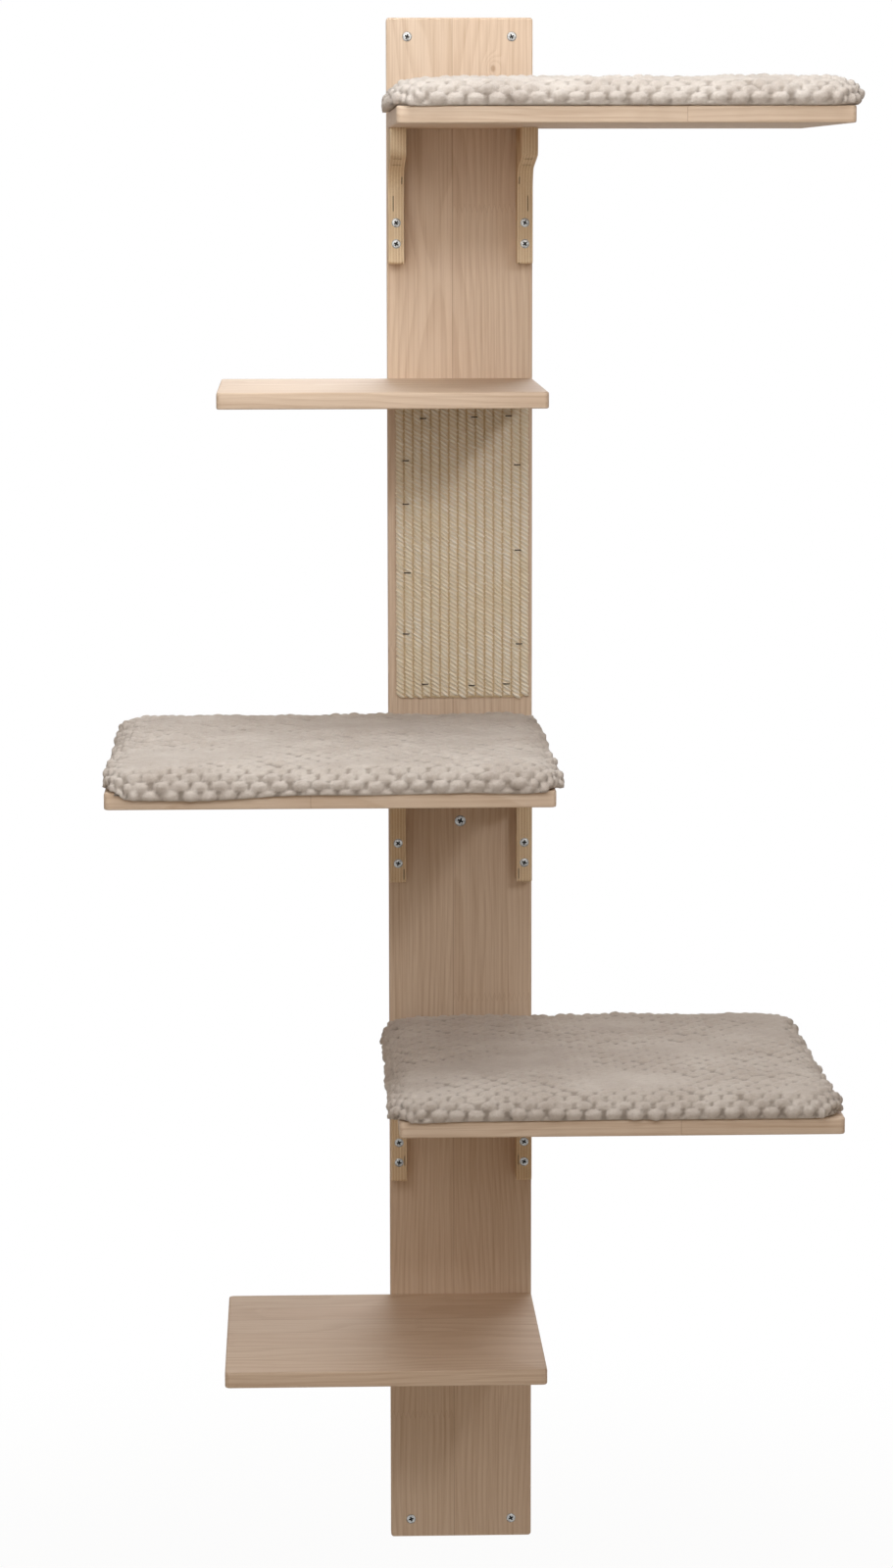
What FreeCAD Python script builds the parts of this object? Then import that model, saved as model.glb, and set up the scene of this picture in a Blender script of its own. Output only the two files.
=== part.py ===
"""Wall mounted climbing tree: a tall board that is screwed to a wall, three big shelves with
cushions on plywood brackets, two small steps, and a stapled sisal mat for scratching.

Frame, in millimetres: +Z up, +Y into the wall, +X to the right of someone who faces the wall.
The origin is the middle of the tall board's back face, which lies in the plane Y = 0.
"""
import FreeCAD, Part
import os

import Sketcher
from FreeCAD import Placement, Rotation, Vector

doc = FreeCAD.newDocument("ClimbingTree")

# ---------------------------------------------------------------- driving dimensions

SIZES = (
    # the upright board
    ("panel_width", 140),
    ("panel_height", 1500),
    ("panel_thickness", 15),
    ("panel_corner", 3),
    # the boards that stand out from it
    ("board_thickness", 15),
    ("shelf_width", 400),
    ("shelf_depth", 400),
    ("step_width", 300),
    ("step_depth", 280),
    ("board_corner", 5),
    ("board_edge", 1.5),
    # height of each board's top above the lower end of the upright board
    ("level_top", 1410),
    ("level_step_upper", 1157),
    ("level_middle", 811),
    ("level_lower", 513),
    ("level_step_lower", 250),
    # plywood brackets
    ("bracket_height", 128),
    ("bracket_reach", 115),
    ("bracket_thickness", 15),
    ("bracket_inset", 1),
    ("leg_depth", 25),
    ("arm_tip_spare", 1),
    ("arm_root_spare", 15),
    ("arm_tip_round", 8),
    ("inner_round", 22),
    ("leg_end_round", 3),
    # screws that hold the brackets, and the longer ones from behind the upright board
    ("screw_sides", 8),
    ("screw_width", 4),
    ("screw_head", 8.6),
    ("screw_rim", 0.3),
    ("screw_bite", 10),
    ("leg_screw_low", 19),
    ("leg_screw_pitch", 20),
    ("arm_screw_inset", 20),
    ("arm_screw_pitch", 35),
    ("back_screw_length", 50),
    ("back_screw_spread", 90),
    # screws into the wall
    ("wall_screw_length", 50),
    ("wall_screw_width", 5),
    ("wall_screw_neck", 3.6),
    ("wall_screw_head", 8.8),
    ("wall_screw_big_head", 10.6),
    ("wall_screw_side_inset", 20),
    ("wall_screw_end_inset", 18),
    ("wall_screw_middle_level", 725),
    # clearances
    ("drive_fit", 0.1),
    ("clearance_fit", 0.5),
    ("soft_gap", 0.3),
    # cushions and the strips that hold them
    ("cushion_thickness", 21),
    ("cushion_overhang", 6),
    ("cushion_back_gap", 10),
    ("cushion_corner", 30),
    ("cushion_edge", 6),
    ("strip_length", 120),
    ("strip_width", 25),
    ("strip_thickness", 1.2),
    ("strip_inset", 70),
    # sisal mat and its staples
    ("mat_side_gap", 5),
    ("mat_height", 290),
    ("mat_thickness", 6),
    ("mat_corner", 8),
    ("mat_shift", 2),
    ("mat_drop", 6),
    ("staple_crown", 6.5),
    ("staple_wire", 0.9),
    ("staple_leg", 12),
)

sheet = doc.addObject("Spreadsheet::Sheet", "Sizes")
for row, (alias, value) in enumerate(SIZES, start=1):
    sheet.set(f"A{row}", alias)
    sheet.set(f"B{row}", str(value))
    sheet.setAlias(f"B{row}", alias)
doc.recompute()

# label, width, depth and level of each board, and the side that it runs out to
BOARDS = (
    ("shelf_top", "shelf_width", "shelf_depth", "level_top", 1),
    ("step_upper", "step_width", "step_depth", "level_step_upper", -1),
    ("shelf_middle", "shelf_width", "shelf_depth", "level_middle", -1),
    ("shelf_lower", "shelf_width", "shelf_depth", "level_lower", 1),
    ("step_lower", "step_width", "step_depth", "level_step_lower", -1),
)
SHELVES = tuple(board for board in BOARDS if board[0].startswith("shelf"))
SIDES = (("left", -1), ("right", 1))

# staples, shot by hand round the mat's rim: shares of its width from its middle, and of its
# height from its upper end
STAPLES = (
    (-0.29, 0.06), (0.09, 0.056), (0.345, 0.052),
    (-0.42, 0.2), (-0.42, 0.345), (-0.41, 0.575), (-0.42, 0.78),
    (0.41, 0.215), (0.415, 0.5), (0.425, 0.815),
    (-0.28, 0.95), (0.07, 0.955), (0.33, 0.95),
)

INTO_WALL = Rotation(Vector(1, 0, 0), -90)
OUT_OF_WALL = Rotation(Vector(1, 0, 0), 90)
UPWARDS = Rotation()

parts = []


# ---------------------------------------------------------------- helpers

def number(expression):
    """The value of an expression on the sheet, as a plain number."""
    return float(doc.Sizes.evalExpression(expression))


def new_body(label):
    """An empty body whose label names the piece."""
    body = doc.addObject("PartDesign::Body", label)
    body.Label = label
    return body


def keep(piece):
    """Adds a finished piece to those that are written out."""
    parts.append(piece)
    return piece


def sketch_on(body, name, role, offset="0"):
    """A sketch on one of the body's own origin planes, moved along the plane's normal."""
    sketch = body.newObject("Sketcher::SketchObject", f"{body.Label}_{name}")
    plane = next(item for item in body.Origin.OriginFeatures if item.Role == role)
    sketch.AttachmentSupport = [(plane, "")]
    sketch.MapMode = "FlatFace"
    sketch.setExpression("AttachmentOffset.Base.z", offset)
    return sketch


def fix_point(sketch, geometry, point, x, y):
    """Ties a point of the sketch to two bound distances from the sketch's origin."""
    for kind, expression in (("DistanceX", x), ("DistanceY", y)):
        distance = Sketcher.Constraint(kind, -1, 1, geometry, point, number(expression))
        sketch.setExpression(f"Constraints[{sketch.addConstraint(distance)}]", expression)


def polygon(sketch, corners):
    """A closed outline of straight lines, with each corner bound by two expressions."""
    points = [Vector(number(x), number(y), 0) for x, y in corners]
    lines = []
    for start, end in zip(points, points[1:] + points[:1]):
        lines.append(sketch.addGeometry(Part.LineSegment(start, end), False))
    for line, following in zip(lines, lines[1:] + lines[:1]):
        sketch.addConstraint(Sketcher.Constraint("Coincident", line, 2, following, 1))
    for line, (x, y) in zip(lines, corners):
        fix_point(sketch, line, 1, x, y)


def rectangle(sketch, left, low, right, high):
    """A closed rectangle between two corners."""
    polygon(sketch, ((left, low), (right, low), (right, high), (left, high)))


def circles(sketch, centres, diameter):
    """Circles of one bound diameter on bound centres."""
    for x, y in centres:
        middle = Vector(number(x), number(y), 0)
        circle = sketch.addGeometry(Part.Circle(middle, Vector(0, 0, 1), number(diameter) / 2), False)
        fix_point(sketch, circle, 3, x, y)
        size = Sketcher.Constraint("Diameter", circle, number(diameter))
        sketch.setExpression(f"Constraints[{sketch.addConstraint(size)}]", diameter)


def feature_on(body, kind, name, **properties):
    """Adds a feature of the given kind to the body, with its plain properties."""
    feature = body.newObject(f"PartDesign::{kind}", f"{body.Label}_{name}")
    for key, value in properties.items():
        setattr(feature, key, value)
    return feature


def pad(body, name, sketch, length):
    """Thickens a sketch to a bound length."""
    feature_on(body, "Pad", name, Profile=sketch).setExpression("Length", length)
    doc.recompute()


def through_holes(body, name, sketch, width, opening):
    """Cuts through holes whose 90 degree countersink starts at the sketch's plane."""
    before = body.Shape.Volume
    feature = feature_on(body, "Hole", name, Profile=sketch)
    doc.recompute()
    feature.ThreadType = "None"
    feature.DepthType = "ThroughAll"
    feature.HoleCutType = "Countersink"
    feature.HoleCutCustomValues = True
    feature.HoleCutCountersinkAngle = 90
    feature.setExpression("Diameter", width)
    feature.setExpression("HoleCutDiameter", opening)
    doc.recompute()
    check_cut(body, before)


def drilled(label, blank, *seats):
    """The piece that is left of a blank when groups of screw seats are cut out of it."""
    piece = blank
    for seat in seats:
        cut = doc.addObject("Part::Cut", f"{label}_less_{seat.Label}")
        cut.Base = piece
        cut.Tool = seat
        doc.recompute()
        check_cut(cut, piece.Shape.Volume)
        piece = cut
    piece.Label = label
    return keep(piece)


def check_cut(piece, before):
    """A cut that points away from the wood removes nothing and shows no error."""
    if piece.Shape.Volume > before - 1:
        raise RuntimeError(f"{piece.Label}: a cut removes nothing")


def edges_along(shape, axis):
    """Names of the straight edges that are parallel to an axis."""
    return [
        f"Edge{index}" for index, edge in enumerate(shape.Edges, start=1)
        if edge.Curve.TypeId == "Part::GeomLine" and abs(edge.Curve.Direction.dot(axis)) > 0.999
    ]


def edges_at(shape, test):
    """Names of the edges whose ends all pass a test."""
    return [
        f"Edge{index}" for index, edge in enumerate(shape.Edges, start=1)
        if all(test(vertex.Point) for vertex in edge.Vertexes)
    ]


def rims_of(body, thickness):
    """Names of the edges round the lower and the upper face of a body that lies flat."""
    heights = (0, number(f"Sizes.{thickness}"))
    return [
        name for height in heights
        for name in edges_at(body.Shape, lambda point: abs(point.z - height) < 1e-6)
    ]


def round_edges(body, name, edges, radius):
    """Rounds edges of the body's last feature with a bound radius."""
    feature_on(body, "Fillet", name, Base=(body.Tip, edges)).setExpression("Radius", radius)
    doc.recompute()


def bevel_edges(body, name, edges, size):
    """Chamfers edges of the body's last feature with a bound size."""
    feature_on(body, "Chamfer", name, Base=(body.Tip, edges)).setExpression("Size", size)
    doc.recompute()


def place(piece, x, y, z):
    """Binds where a piece stands in the object's frame."""
    for axis, expression in zip("xyz", (x, y, z)):
        piece.setExpression(f"Placement.Base.{axis}", expression)


def group(label, master, rotation, places):
    """Several equal solids as one object: a link to the master at each bound place."""
    links = []
    for index, spot in enumerate(places, start=1):
        link = doc.addObject("App::Link", f"{label}_{index}")
        link.LinkedObject = master
        link.Placement = Placement(Vector(), rotation)
        place(link, *spot)
        links.append(link)
    compound = doc.addObject("Part::Compound", label)
    compound.Label = label
    compound.Links = links
    doc.recompute()
    return compound


# ---------------------------------------------------------------- where things are

PANEL_EDGE = "Sizes.panel_width / 2"
PANEL_TOP = "Sizes.panel_height / 2"
PANEL_FRONT = "-Sizes.panel_thickness"

WALL_HOLE = "Sizes.wall_screw_width + Sizes.clearance_fit"
HEAD = "Sizes.screw_head / 2"
HEAD_SEAT = f"{HEAD} + Sizes.drive_fit"
SHANK = "Sizes.screw_width / 2"
# a bracket's screw goes through its leg and bites the panel. The same screws hold its arm, so
# their heads lie as deep below the shelf, and the arm is a little deeper there
SCREW_LENGTH = "Sizes.leg_depth + Sizes.screw_bite"
ARM_SEAT = "Sizes.leg_depth"
ARM_TIP = "(Sizes.leg_depth + Sizes.arm_tip_spare)"
ARM_ROOT = "(Sizes.leg_depth + Sizes.arm_root_spare)"
CUSHION_LIFT = "2 * Sizes.strip_thickness + Sizes.soft_gap"


def board_top(level):
    """Height of a board's upper face."""
    return f"Sizes.{level} - {PANEL_TOP}"


def board_underside(level):
    """Height of a board's lower face."""
    return f"{board_top(level)} - Sizes.board_thickness"


def board_middle(level):
    """Height of the middle of a board's rear edge."""
    return f"{board_top(level)} - Sizes.board_thickness / 2"


def board_left(width, side):
    """Left end of a board. Its other end is flush with the panel when it runs out to the left,
    and its left end is when it runs out to the right."""
    if side > 0:
        return f"-{PANEL_EDGE}"
    return f"{PANEL_EDGE} - Sizes.{width}"


def bracket_middle(side):
    """Middle plane of a bracket, which stands just inside the panel's edge."""
    return f"{side} * ({PANEL_EDGE} - Sizes.bracket_inset - Sizes.bracket_thickness / 2)"


def leg_screw_drops():
    """How far the two leg screws lie below the shelf's underside."""
    low = "Sizes.bracket_height - Sizes.leg_screw_low"
    return (low, f"{low} - Sizes.leg_screw_pitch")


def arm_screw_reaches():
    """How far the two arm screws stand out from the panel's front."""
    far = "Sizes.bracket_reach - Sizes.arm_screw_inset"
    return (far, f"{far} - Sizes.arm_screw_pitch")


def wall_screw_corners():
    """Places of the four corner screws on the panel."""
    x = f"({PANEL_EDGE} - Sizes.wall_screw_side_inset)"
    z = f"({PANEL_TOP} - Sizes.wall_screw_end_inset)"
    return [(f"{across} * {x}", f"{up} * {z}") for across in (-1, 1) for up in (1, -1)]


def wall_screw_middle():
    """Place of the fifth wall screw."""
    return ("0", f"Sizes.wall_screw_middle_level - {PANEL_TOP}")


MAT_WIDTH = "(Sizes.panel_width - 2 * Sizes.mat_side_gap)"
MAT_TOP = f"{board_underside('level_step_upper')} - Sizes.mat_drop"


# ---------------------------------------------------------------- screws and their seats

def leg_screw_places():
    """Heads of the screws through the brackets' legs, on the legs' front faces."""
    return [
        (bracket_middle(side), f"{PANEL_FRONT} - Sizes.leg_depth",
         f"{board_underside(board[3])} - ({drop})")
        for board in SHELVES for _, side in SIDES for drop in leg_screw_drops()
    ]


def arm_screw_places():
    """Heads of the screws up through the brackets' arms, deep in their bores."""
    return [
        (bracket_middle(side), f"{PANEL_FRONT} - ({reach})",
         f"{board_underside(board[3])} - ({ARM_SEAT})")
        for board in SHELVES for _, side in SIDES for reach in arm_screw_reaches()
    ]


def back_screw_places():
    """Heads of the screws through the panel into every board, on the panel's back face."""
    return [
        (f"{side} * Sizes.back_screw_spread / 2", "0", board_middle(board[3]))
        for board in BOARDS for _, side in SIDES
    ]


def bar(body, name, radius, start, end):
    """Adds a straight bar along +Z. It has flat sides in place of a round one, because screws and
    their holes repeat many times."""
    prism = feature_on(body, "AdditivePrism", name)
    prism.setExpression("Polygon", "Sizes.screw_sides")
    prism.setExpression("Circumradius", radius)
    prism.setExpression("Height", f"{end} - ({start})")
    prism.setExpression("Placement.Base.z", start)
    doc.recompute()


def countersink(body, wide, narrow):
    """A countersunk head, or what the wood lacks round it: a thin rim at the origin, and a 90
    degree cone below it that ends in the narrow bar's sides."""
    slope = f"({wide} - ({narrow})) * cos(180 / Sizes.screw_sides)"
    end = f"Sizes.screw_rim + {slope}"
    bar(body, "head", wide, "0", end)
    narrow_end = number(end)
    rim = edges_at(body.Shape, lambda point: abs(point.z - narrow_end) < 1e-6)
    bevel_edges(body, "cone", rim, slope)


def make_screw(label, length):
    """A countersunk screw along its local +Z, with the top of its head at the origin."""
    body = new_body(label)
    countersink(body, HEAD, SHANK)
    bar(body, "shank", SHANK, "0", length)
    return body


def make_seat(label, length, clamped):
    """What the wood lacks round a screw: a countersink, a clearance hole through the piece that
    the screw clamps, and a pilot hole in the piece that it bites."""
    body = new_body(label)
    loose = f"{SHANK} + Sizes.clearance_fit / 2"
    countersink(body, HEAD_SEAT, loose)
    bar(body, "clearance", loose, "0", clamped)
    bar(body, "pilot", f"{SHANK} + Sizes.drive_fit / 2", "0", f"{length} + Sizes.drive_fit")
    return body


def make_wall_screw(label, head_width):
    """A countersunk wall screw: a plain neck inside the panel, and a wider round thread behind."""
    body = new_body(label)
    neck = "Sizes.wall_screw_neck / 2"
    countersink(body, f"Sizes.{head_width} / 2", neck)
    bar(body, "neck", neck, "0", "Sizes.panel_thickness")
    thread = feature_on(body, "AdditiveCylinder", "thread")
    thread.setExpression("Radius", "Sizes.wall_screw_width / 2")
    thread.setExpression("Height", "Sizes.wall_screw_length - Sizes.panel_thickness")
    thread.setExpression("Placement.Base.z", "Sizes.panel_thickness")
    doc.recompute()
    return body


def make_wall_screws():
    """Four screws near the panel's corners, and one with a larger head under the middle shelf."""
    for label, head_width, places in (
        ("wall_screws", "wall_screw_head", wall_screw_corners()),
        ("wall_screw_middle", "wall_screw_big_head", [wall_screw_middle()]),
    ):
        screw = make_wall_screw(f"{label}_master", head_width)
        keep(group(label, screw, INTO_WALL, [(x, PANEL_FRONT, z) for x, z in places]))


# ---------------------------------------------------------------- upright board

def make_panel(leg_seats, back_seats):
    """The tall board: countersunk wall holes in front, countersunk screw holes from behind for
    every board, and pilot holes for the brackets."""
    body = new_body("panel_blank")
    outline = sketch_on(body, "outline", "XZ_Plane")
    rectangle(outline, f"-{PANEL_EDGE}", f"-{PANEL_TOP}", PANEL_EDGE, PANEL_TOP)
    pad(body, "board", outline, "Sizes.panel_thickness")
    round_edges(body, "corners", edges_along(body.Shape, Vector(0, 1, 0)), "Sizes.panel_corner")
    for name, centres, head in (
        ("corner_holes", wall_screw_corners(), "wall_screw_head"),
        ("middle_hole", [wall_screw_middle()], "wall_screw_big_head"),
    ):
        sketch = sketch_on(body, f"{name}_places", "XZ_Plane", "Sizes.panel_thickness")
        circles(sketch, centres, WALL_HOLE)
        opening = f"Sizes.{head} + 2 * (Sizes.drive_fit + Sizes.screw_rim)"
        through_holes(body, name, sketch, WALL_HOLE, opening)
    drilled("back_panel", body, leg_seats, back_seats)


# ---------------------------------------------------------------- shelves and steps

def make_board(label, width, depth, level, side, *seats):
    """A board with rounded corners and softened edges. Its local origin is the lower rear corner
    at its left end."""
    body = new_body(f"{label}_blank")
    outline = sketch_on(body, "outline", "XY_Plane")
    rectangle(outline, "0", f"-Sizes.{depth}", f"Sizes.{width}", "0")
    pad(body, "board", outline, "Sizes.board_thickness")
    round_edges(body, "corners", edges_along(body.Shape, Vector(0, 0, 1)), "Sizes.board_corner")
    bevel_edges(body, "edges", rims_of(body, "board_thickness"), "Sizes.board_edge")
    place(body, board_left(width, side), PANEL_FRONT, board_underside(level))
    drilled(label, body, *seats)


# ---------------------------------------------------------------- plywood brackets

def make_bracket(label, level, side, leg_seats, arm_seats):
    """A plywood bracket: a straight leg against the panel, an arm under the shelf that thins
    towards a blunt tip, and a wide round between them. Its local origin is the upper rear corner
    of its left face, where the panel meets the shelf's underside."""
    body = new_body(f"{label}_blank")
    outline = sketch_on(body, "outline", "YZ_Plane")
    corners = (
        ("0", "0"),
        ("-Sizes.bracket_reach", "0"),
        ("-Sizes.bracket_reach", f"-{ARM_TIP}"),
        ("-Sizes.leg_depth", f"-{ARM_ROOT}"),
        ("-Sizes.leg_depth", "-Sizes.bracket_height"),
        ("0", "-Sizes.bracket_height"),
    )
    polygon(outline, corners)
    pad(body, "blank", outline, "Sizes.bracket_thickness")
    for name, (y, z), radius in (
        ("tip", corners[2], "arm_tip_round"),
        ("inner", corners[3], "inner_round"),
        ("leg_end", corners[4], "leg_end_round"),
    ):
        spot = Vector(0, number(y), number(z))
        edge = edges_at(body.Shape, lambda point: Vector(0, point.y, point.z).isEqual(spot, 1e-6))
        round_edges(body, f"{name}_round", edge, f"Sizes.{radius}")
    left_face = f"{bracket_middle(side)} - Sizes.bracket_thickness / 2"
    place(body, left_face, PANEL_FRONT, board_underside(level))
    drilled(label, body, leg_seats, arm_seats)


# ---------------------------------------------------------------- sisal mat and its staples

def make_mat():
    """The woven mat, a flat plate with rounded corners that hangs from just under the upper step.
    Its local origin is the middle of its upper edge, against the panel."""
    body = new_body("sisal_mat")
    outline = sketch_on(body, "outline", "XZ_Plane")
    half = f"{MAT_WIDTH} / 2"
    rectangle(outline, f"-{half}", "-Sizes.mat_height", half, "0")
    pad(body, "weave", outline, "Sizes.mat_thickness")
    round_edges(body, "corners", edges_along(body.Shape, Vector(0, 1, 0)), "Sizes.mat_corner")
    place(body, "Sizes.mat_shift", PANEL_FRONT, MAT_TOP)
    keep(body)


def make_staples():
    """Wire staples: each crown lies across the mat, and its two legs go through it."""
    body = new_body("staple")
    outline = sketch_on(body, "outline", "XY_Plane", "-Sizes.staple_wire / 2")
    half = "Sizes.staple_crown / 2"
    inside = f"{half} - Sizes.staple_wire"
    end = "Sizes.staple_wire + Sizes.staple_leg"
    polygon(outline, (
        (f"-{half}", "0"), (half, "0"), (half, end), (inside, end), (inside, "Sizes.staple_wire"),
        (f"-({inside})", "Sizes.staple_wire"), (f"-({inside})", end), (f"-{half}", end),
    ))
    pad(body, "wire", outline, "Sizes.staple_wire")
    keep(group("sisal_staples", body, UPWARDS, [
        (f"Sizes.mat_shift + {across} * {MAT_WIDTH}",
         f"{PANEL_FRONT} - Sizes.mat_thickness - Sizes.staple_wire",
         f"{MAT_TOP} - {down} * Sizes.mat_height")
        for across, down in STAPLES
    ]))


# ---------------------------------------------------------------- cushions and their strips

def make_cushion(label, width, depth, level, side):
    """A plush cushion that covers a shelf and hangs over its free edges. Its local origin is
    above the shelf's rear corner, at the cushion's underside."""
    body = new_body(label)
    outline = sketch_on(body, "outline", "XY_Plane")
    rectangle(
        outline, "-Sizes.cushion_overhang", f"-Sizes.{depth} - Sizes.cushion_overhang",
        f"Sizes.{width} + Sizes.cushion_overhang", "-Sizes.cushion_back_gap",
    )
    pad(body, "pad", outline, "Sizes.cushion_thickness")
    round_edges(body, "corners", edges_along(body.Shape, Vector(0, 0, 1)), "Sizes.cushion_corner")
    bevel_edges(body, "edges", rims_of(body, "cushion_thickness"), "Sizes.cushion_edge")
    place(body, board_left(width, side), PANEL_FRONT, f"{board_top(level)} + {CUSHION_LIFT}")
    keep(body)


def make_strip():
    """One length of fastener tape, for either the hook side or the loop side."""
    strip = doc.addObject("Part::Box", "fastener_strip")
    strip.setExpression("Length", "Sizes.strip_length")
    strip.setExpression("Width", "Sizes.strip_width")
    strip.setExpression("Height", "Sizes.strip_thickness")
    return strip


def make_strips(tier, strip, width, depth, level, side):
    """Hook strips on the shelf, and facing loop strips under its cushion: one pair near the
    panel and one near the front."""
    left = f"{board_left(width, side)} + (Sizes.{width} - Sizes.strip_length) / 2"
    rows = (
        f"{PANEL_FRONT} - Sizes.strip_inset - Sizes.strip_width / 2",
        f"{PANEL_FRONT} - Sizes.{depth} + Sizes.strip_inset - Sizes.strip_width / 2",
    )
    hook_base = board_top(level)
    loop_base = f"{hook_base} + Sizes.strip_thickness + Sizes.soft_gap"
    for kind, base in (("hook", hook_base), ("loop", loop_base)):
        keep(group(f"{kind}_strips_{tier}", strip, UPWARDS, [(left, row, base) for row in rows]))


# ---------------------------------------------------------------- the whole object

bracket_screw = make_screw("bracket_screw", SCREW_LENGTH)
board_screw = make_screw("board_screw", "Sizes.back_screw_length")
leg_seat = make_seat("leg_seat", SCREW_LENGTH, "Sizes.leg_depth")
arm_seat = make_seat("arm_seat", SCREW_LENGTH, ARM_SEAT)
bar(arm_seat, "bore", HEAD_SEAT, f"-{ARM_ROOT}", "0")
back_seat = make_seat("back_seat", "Sizes.back_screw_length", "Sizes.panel_thickness")

keep(group("bracket_leg_screws", bracket_screw, INTO_WALL, leg_screw_places()))
keep(group("bracket_arm_screws", bracket_screw, UPWARDS, arm_screw_places()))
keep(group("shelf_back_screws", board_screw, OUT_OF_WALL, back_screw_places()))
leg_seats = group("leg_seats", leg_seat, INTO_WALL, leg_screw_places())
arm_seats = group("arm_seats", arm_seat, UPWARDS, arm_screw_places())
back_seats = group("back_seats", back_seat, OUT_OF_WALL, back_screw_places())

make_panel(leg_seats, back_seats)
make_wall_screws()
strip = make_strip()
for board in BOARDS:
    label, width, depth, level, side = board
    if board not in SHELVES:
        make_board(*board, back_seats)
        continue
    make_board(*board, back_seats, arm_seats)
    tier = label.removeprefix("shelf_")
    for way_name, way in SIDES:
        make_bracket(f"bracket_{tier}_{way_name}", level, way, leg_seats, arm_seats)
    make_cushion(f"cushion_{tier}", width, depth, level, side)
    make_strips(tier, strip, width, depth, level, side)
make_mat()
make_staples()
doc.recompute()

for item in doc.Objects:
    if "Invalid" in item.State or "Error" in item.State:
        raise RuntimeError(f"{item.Name} did not build: {item.State}")
os.makedirs("parts", exist_ok=True)
for piece in parts:
    if piece.Shape.isNull() or not piece.Shape.isValid():
        raise RuntimeError(f"{piece.Label} has no valid shape")
    piece.Shape.exportStep(f"parts/{piece.Label}.step")
    print(f"{piece.Label}: {len(piece.Shape.Solids)} solids, {piece.Shape.Volume / 1000:.1f} cm3")
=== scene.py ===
# %% [markdown]
# # A wall mounted climbing tree
# One tall board hangs on a wall. It carries three big shelves with plush cushions, two small bare
# steps, six plywood brackets and a stapled sisal mat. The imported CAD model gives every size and
# place; this lesson makes the surfaces that show: rounded wood, turned screws, woven rib and pile.
# Lengths below are in millimetres and are multiplied by MM on their way into Blender's metres.

# %% Load the frame
import math
import random

import bmesh
import bpy
import numpy as np
from mathutils import Matrix, Vector


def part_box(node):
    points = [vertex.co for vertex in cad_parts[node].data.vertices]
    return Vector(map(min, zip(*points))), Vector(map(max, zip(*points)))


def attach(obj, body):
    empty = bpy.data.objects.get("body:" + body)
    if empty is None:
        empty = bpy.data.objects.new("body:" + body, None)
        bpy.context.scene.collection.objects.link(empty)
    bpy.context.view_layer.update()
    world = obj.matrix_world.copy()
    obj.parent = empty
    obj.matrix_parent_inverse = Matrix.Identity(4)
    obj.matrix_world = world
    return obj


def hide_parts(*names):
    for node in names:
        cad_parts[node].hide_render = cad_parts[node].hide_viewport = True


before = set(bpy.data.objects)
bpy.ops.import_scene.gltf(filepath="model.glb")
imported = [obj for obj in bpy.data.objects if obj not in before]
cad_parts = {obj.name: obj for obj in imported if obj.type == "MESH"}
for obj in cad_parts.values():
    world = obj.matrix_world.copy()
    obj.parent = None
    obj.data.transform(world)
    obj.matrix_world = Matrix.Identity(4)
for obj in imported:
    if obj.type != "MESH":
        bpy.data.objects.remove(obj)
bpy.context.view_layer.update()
MM = 0.001
chance = random.Random(7)


def box_mm(node):
    """A node's lowest and highest corner in millimetres."""
    low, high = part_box(node)
    return Vector(low) / MM, Vector(high) / MM


# %% [markdown]
# ## Camera and light
# The picture was taken from about four metres away with a long lens, a little left of the tree
# and just under its top shelf. That leaves the shelves almost edge on, so the camera has to be
# placed exactly: its place and its three angles were found by fitting the board corners.

# %% Camera
scene = bpy.context.scene
scene.view_settings.view_transform = "Standard"

SENSOR = 36
PICTURE_HEIGHT = 1600
FOCAL_PIXELS = 4366
YAW, PITCH, ROLL = (math.radians(angle) for angle in (2.007, 7.988, -0.091))

camera = bpy.data.objects.new("camera", bpy.data.cameras.new("camera"))
camera.data.sensor_width = SENSOR
camera.data.lens = SENSOR * FOCAL_PIXELS / PICTURE_HEIGHT
camera.matrix_world = (
    Matrix.Translation(Vector((-158.6, -4156.9, 593.1)) * MM)
    @ Matrix.Rotation(-YAW, 4, "Z")
    @ Matrix.Rotation(math.radians(90) - PITCH, 4, "X")
    @ Matrix.Rotation(ROLL, 4, "Z")
)
scene.collection.objects.link(camera)
scene.camera = camera
print("lens:", round(camera.data.lens, 1), "mm")


# %% [markdown]
# The shadow of the upper step runs down to the left over the mat, so the main lamp stands in
# front, to the right and above. Each board darkens what is under it, which asks for a wide soft
# lamp overhead as well. Two weak lamps in front lighten what those two leave dark, and one behind
# the tree is for views of its back. The room itself adds a weak warm glow, set further down.

# %% Lamps
def lamp(name, size, power, colour, place, target, spread=180):
    """A square area lamp that faces a point. A small spread keeps its light near its axis."""
    light = bpy.data.lights.new(name, "AREA")
    light.shape = "SQUARE"
    light.size = size
    light.energy = power
    light.color = colour
    light.spread = math.radians(spread)
    holder = bpy.data.objects.new(name, light)
    holder.location = place
    holder.rotation_euler = (Vector(target) - Vector(place)).to_track_quat("-Z", "Y").to_euler()
    scene.collection.objects.link(holder)


lamp("key", 0.34, 2.7, (1.0, 1.0, 1.0), (1.2, -3.7, 1.68), (0.0, -0.1, 0.72), spread=60)
lamp("overhead", 1.3, 24, (0.95, 0.98, 1.0), (-0.15, -0.8, 2.1), (0.0, -0.2, 0.3))
lamp("front", 1.0, 4.3, (1.0, 0.99, 0.97), (-0.2, -2.2, 0.85), (0.0, 0.0, 0.55), spread=110)
lamp("side", 1.0, 2.2, (1.0, 1.0, 1.0), (-0.9, -1.9, 1.3), (0.0, 0.0, 0.7), spread=110)
lamp("behind", 1.6, 30, (1.0, 1.0, 1.0), (0.5, 2.7, 1.5), (0.0, 0.0, 0.2))


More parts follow.
